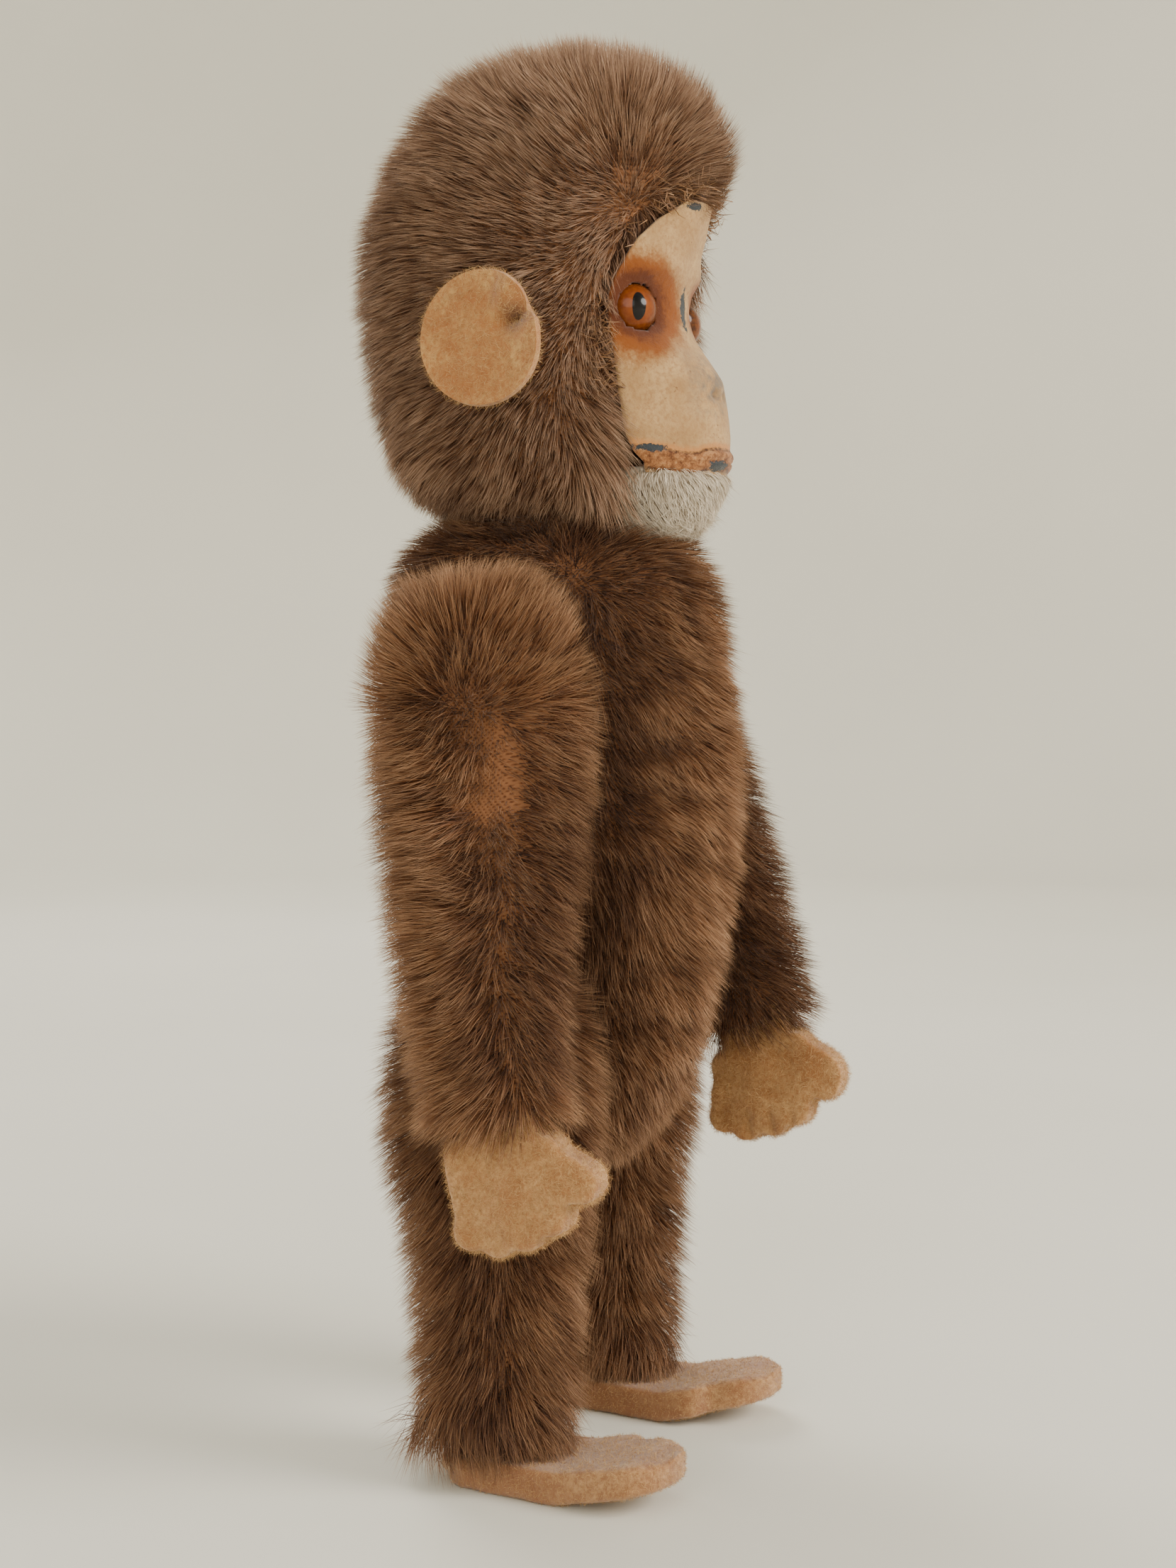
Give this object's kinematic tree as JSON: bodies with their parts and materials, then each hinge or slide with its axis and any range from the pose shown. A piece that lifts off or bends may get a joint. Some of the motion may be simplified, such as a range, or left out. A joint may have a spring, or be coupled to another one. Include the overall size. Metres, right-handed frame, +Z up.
{
  "type": "jointed mohair toy monkey",
  "caption": "Standing stuffed mohair toy monkey with a pressed flocked face, glass eyes, felt ears, hands and feet, and disc-jointed head, arms and legs.",
  "frame": {"origin": "on the floor, under the middle of the whole toy's box", "axes": "+Z up, the toy faces -Y, its left is +X"},
  "size_m": [0.0888, 0.0667, 0.216],
  "materials": {
    "brown_mohair": "straight mohair pile, mid brown with lighter greyish tips",
    "white_mohair": "short off-white mohair pile",
    "tan_felt": "matt wool felt, slightly fuzzy",
    "flocked_face": "matt cream flock over pressed tin, airbrushed round the eyes, chipped to grey metal",
    "amber_glass": "glossy amber glass with a black pupil",
    "eye_wire": "bare steel wire",
    "wood_wool": "packed wood wool",
    "joint_board": "pressed brown board",
    "insole_card": "plain card",
    "washer_steel": "dull steel",
    "pin_steel": "dull steel"
  },
  "bodies": {
    "trunk": {"body_cover": "brown_mohair", "body_stuffing": "wood_wool", "neck_pin": "pin_steel", "neck_body_disc": "joint_board", "neck_body_washer": "washer_steel", "right_shoulder_pin": "pin_steel", "right_shoulder_body_disc": "joint_board", "right_shoulder_body_washer": "washer_steel", "right_hip_pin": "pin_steel", "right_hip_body_disc": "joint_board", "right_hip_body_washer": "washer_steel", "left_shoulder_pin": "pin_steel", "left_shoulder_body_disc": "joint_board", "left_shoulder_body_washer": "washer_steel", "left_hip_pin": "pin_steel", "left_hip_body_disc": "joint_board", "left_hip_body_washer": "washer_steel"},
    "head": {"head_cover": "brown_mohair", "head_stuffing": "wood_wool", "face_mask": "flocked_face", "chin_beard": "white_mohair", "right_eye": "amber_glass", "left_eye": "amber_glass", "eye_wires": "eye_wire", "right_ear": "tan_felt", "left_ear": "tan_felt", "neck_head_disc": "joint_board", "neck_head_washer": "washer_steel"},
    "right_arm": {"right_arm_cover": "brown_mohair", "right_arm_stuffing": "wood_wool", "right_hand": "tan_felt", "right_arm_disc": "joint_board", "right_arm_washer": "washer_steel"},
    "right_leg": {"right_leg_cover": "brown_mohair", "right_leg_stuffing": "wood_wool", "right_foot": "tan_felt", "right_insole": "insole_card", "right_leg_disc": "joint_board", "right_leg_washer": "washer_steel"},
    "left_arm": {"left_arm_cover": "brown_mohair", "left_arm_stuffing": "wood_wool", "left_hand": "tan_felt", "left_arm_disc": "joint_board", "left_arm_washer": "washer_steel"},
    "left_leg": {"left_leg_cover": "brown_mohair", "left_leg_stuffing": "wood_wool", "left_foot": "tan_felt", "left_insole": "insole_card", "left_leg_disc": "joint_board", "left_leg_washer": "washer_steel"}
  },
  "joints": [
    {"name": "neck_turn", "type": "hinge", "parent": "trunk", "child": "head", "pos_m": [0, 0.00455, 0.14615], "axis": [0, 0, 1], "continuous": true},
    {"name": "right_shoulder", "type": "hinge", "parent": "trunk", "child": "right_arm", "pos_m": [-0.01815, 0.00455, 0.122], "axis": [-1, 0, 0], "range_deg": [-68, 100]},
    {"name": "left_shoulder", "type": "hinge", "parent": "trunk", "child": "left_arm", "pos_m": [0.01815, 0.00455, 0.122], "axis": [-1, 0, 0], "range_deg": [-79, 89]},
    {"name": "right_hip", "type": "hinge", "parent": "trunk", "child": "right_leg", "pos_m": [-0.01145, 0.00455, 0.063], "axis": [-1, 0, 0], "range_deg": [-75, 90]},
    {"name": "left_hip", "type": "hinge", "parent": "trunk", "child": "left_leg", "pos_m": [0.01145, 0.00455, 0.063], "axis": [-1, 0, 0], "range_deg": [-75, 90]}
  ]
}
